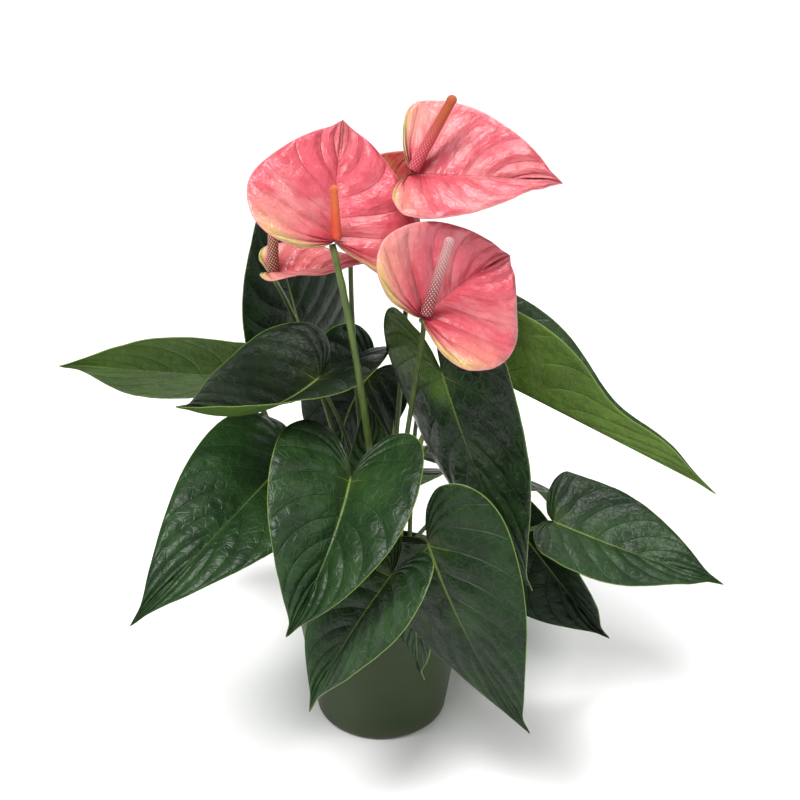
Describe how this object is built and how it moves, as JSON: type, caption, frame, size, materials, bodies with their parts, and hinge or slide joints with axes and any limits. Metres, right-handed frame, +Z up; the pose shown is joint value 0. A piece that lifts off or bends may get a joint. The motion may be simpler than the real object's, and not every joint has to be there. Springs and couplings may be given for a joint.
{
  "type": "potted anthurium",
  "caption": "Potted flowering house plant: heart-shaped leaves, spathes with spadices on stems, soil in a tapered nursery pot with a rim band.",
  "frame": {"origin": "middle of the pot's flat underside, where it rests", "axes": "+Z up along the pot's axis, -Y towards the side the plant shows first, +X to that side's right"},
  "size_m": [0.4148, 0.3329, 0.4357],
  "materials": {
    "pot_plastic": "dark olive-green injection-moulded polypropylene, satin",
    "soil": null,
    "leaf": null,
    "stem": null,
    "spathe": null,
    "spadix_young": "smooth orange-red young spadix",
    "spadix_open": "beaded spadix, pink at its foot and orange-brown at its tip",
    "spadix_ripe": "beaded maroon spadix with cream dots",
    "shoot": "rolled pale green young leaf"
  },
  "bodies": {
    "root": {"pot": "pot_plastic", "soil": "soil", "leaf_front": "leaf", "leaf_left_low": "leaf", "leaf_left_folded": "leaf", "leaf_far_left": "leaf", "leaf_upright_left": "leaf", "leaf_centre": "leaf", "leaf_young": "leaf", "leaf_right_hanging": "leaf", "leaf_far_right": "leaf", "leaf_right_low": "leaf", "leaf_right_shaded": "leaf", "leaf_front_right": "leaf", "leaf_front_left": "leaf", "leaf_front_small": "leaf", "leaf_back_left": "leaf", "leaf_back": "leaf", "leaf_back_right": "leaf", "petiole_front": "stem", "petiole_left_low": "stem", "petiole_left_folded": "stem", "petiole_far_left": "stem", "petiole_upright_left": "stem", "petiole_centre": "stem", "petiole_young": "stem", "petiole_right_hanging": "stem", "petiole_far_right": "stem", "petiole_right_low": "stem", "petiole_right_shaded": "stem", "petiole_front_right": "stem", "petiole_front_left": "stem", "petiole_front_small": "stem", "petiole_back_left": "stem", "petiole_back": "stem", "petiole_back_right": "stem", "spathe_first": "spathe", "spathe_second": "spathe", "spathe_third": "spathe", "spathe_fourth": "spathe", "spathe_fifth": "spathe", "peduncle_first": "stem", "peduncle_second": "stem", "peduncle_third": "stem", "peduncle_fourth": "stem", "peduncle_fifth": "stem", "spadix_first": "spadix_young", "spadix_second": "spadix_open", "spadix_third": "spadix_ripe", "spadix_fourth": "spadix_ripe", "spadix_fifth": "spadix_open", "shoot_left": "shoot", "shoot_right": "shoot"}
  },
  "joints": []
}
